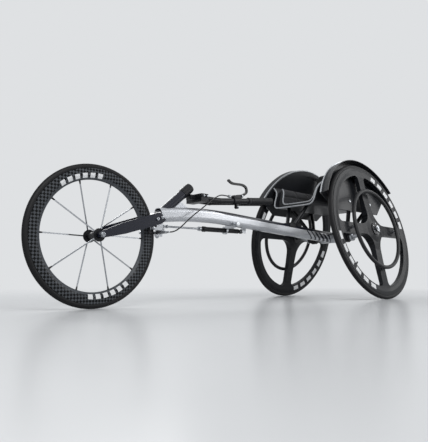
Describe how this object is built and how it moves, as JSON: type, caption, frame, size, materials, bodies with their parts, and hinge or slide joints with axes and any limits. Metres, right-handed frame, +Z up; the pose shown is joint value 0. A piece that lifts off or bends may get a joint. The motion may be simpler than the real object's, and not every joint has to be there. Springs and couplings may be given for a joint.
{
  "type": "racing wheelchair",
  "caption": "Low racing wheelchair with cambered spoked rear wheels and pushrims, a bucket seat between side guards, a long main tube, and a steered, braked front wheel on a fork.",
  "frame": {"origin": "on the ground, under the centre of the box around the whole chair", "axes": "+X forwards to the front wheel, +Y to the rider's left, +Z up"},
  "size_m": [1.9536, 0.6366, 0.6906],
  "materials": {
    "frame_silver": "silver gloss paint",
    "black_paint": "black satin coat",
    "fork_navy": "deep navy gloss paint",
    "bare_alloy": "machined satin",
    "steel": "polished",
    "carbon": "woven carbon fibre under clear gloss",
    "tyre_rubber": "matt black",
    "grip_rubber": "matt black",
    "upholstery": "black woven cover",
    "cable_cover": "black sleeve"
  },
  "bodies": {
    "chassis": {"main_tube": "frame_silver", "head_tube": "black_paint", "head_gussets": "frame_silver", "headset_cups": "black_paint", "axle_sleeve": "frame_silver", "camber_tube": "black_paint", "camber_plug_left": "bare_alloy", "camber_plug_right": "bare_alloy", "rear_axle_left": "steel", "rear_axle_right": "steel", "side_panel_left": "carbon", "side_panel_right": "carbon", "panel_trim_left": "bare_alloy", "panel_trim_right": "bare_alloy", "cage_stay_left": "black_paint", "cage_stay_right": "black_paint", "panel_bolts": "steel", "seat_pan": "carbon", "seat_struts": "black_paint", "seat_pad": "upholstery", "back_bar": "bare_alloy", "back_pad": "upholstery", "compensator_bracket": "bare_alloy", "compensator_steady": "bare_alloy"},
    "fork": {"steerer": "steel", "fork_crown": "fork_navy", "fork_blade_left": "fork_navy", "fork_blade_right": "fork_navy", "steering_arm": "bare_alloy", "bar_clamp": "black_paint", "top_cap": "black_paint", "handlebar_left": "black_paint", "handlebar_right": "black_paint", "grip_left": "grip_rubber", "grip_right": "grip_rubber", "front_axle": "steel", "lever_bracket": "black_paint", "brake_bridge": "bare_alloy", "brake_cable": "cable_cover"},
    "front_wheel": {"front_rim": "carbon", "front_tyre": "tyre_rubber", "front_hub": "black_paint", "front_spokes": "black_paint"},
    "rear_wheel_left": {"rear_wheel_left": "carbon", "rear_tyre_left": "tyre_rubber", "rear_hub_left": "black_paint", "pushrim_left": "grip_rubber", "standoffs_left": "bare_alloy"},
    "rear_wheel_right": {"rear_wheel_right": "carbon", "rear_tyre_right": "tyre_rubber", "rear_hub_right": "black_paint", "pushrim_right": "grip_rubber", "standoffs_right": "bare_alloy"},
    "compensator_cylinder": {"compensator_cylinder": "black_paint"},
    "compensator_rod": {"compensator_rod": "steel"},
    "brake_lever": {"brake_lever": "black_paint"},
    "caliper_left": {"caliper_arm_left": "bare_alloy", "brake_pad_left": "grip_rubber"},
    "caliper_right": {"caliper_arm_right": "bare_alloy", "brake_pad_right": "grip_rubber"}
  },
  "joints": [
    {"name": "steering", "type": "hinge", "parent": "chassis", "child": "fork", "pos_m": [0.46125, 0, 0.34], "axis": [-0.7716, 0, 0.6361], "range_deg": [-10, 10], "stiffness_Nm_per_rad": 12},
    {"name": "front_wheel_spin", "type": "hinge", "parent": "fork", "child": "front_wheel", "pos_m": [0.73625, 0, 0.2405], "axis": [0, 1, 0], "continuous": true},
    {"name": "rear_left_spin", "type": "hinge", "parent": "chassis", "child": "rear_wheel_left", "pos_m": [-0.63775, 0.236, 0.33147], "axis": [0, 0.977, 0.213], "continuous": true},
    {"name": "rear_right_spin", "type": "hinge", "parent": "chassis", "child": "rear_wheel_right", "pos_m": [-0.63775, -0.236, 0.33147], "axis": [0, 0.977, -0.213], "continuous": true},
    {"name": "compensator_swing", "type": "hinge", "parent": "chassis", "child": "compensator_cylinder", "pos_m": [0.00225, -0.034, 0.303], "axis": [-0.0125, -0.6633, -0.7482], "range_deg": [-1, 1]},
    {"name": "compensator_slide", "type": "slide", "parent": "compensator_cylinder", "child": "compensator_rod", "axis": [0.9999, 0, -0.0167], "range_m": [-0.004, 0.004]},
    {"name": "brake_lever", "type": "hinge", "parent": "fork", "child": "brake_lever", "pos_m": [0.06625, 0.031, 0.44478], "axis": [0, 1, 0], "range_deg": [0, 20], "stiffness_Nm_per_rad": 0.6, "springref_deg": -14.32},
    {"name": "caliper_left", "type": "hinge", "parent": "fork", "child": "caliper_left", "pos_m": [0.47925, 0, 0.272], "axis": [0, 0, -1], "range_deg": [0, 2.05]},
    {"name": "caliper_right", "type": "hinge", "parent": "fork", "child": "caliper_right", "pos_m": [0.47925, 0, 0.272], "axis": [0, 0, 1], "range_deg": [0, 2.05]}
  ],
  "couplings": [
    {"joint": "compensator_swing", "follows": "steering", "ratio": 0.085988},
    {"joint": "compensator_slide", "follows": "steering", "m_per_rad": 0.021186},
    {"joint": "caliper_left", "follows": "brake_lever", "ratio": 0.1},
    {"joint": "caliper_right", "follows": "brake_lever", "ratio": 0.1}
  ]
}
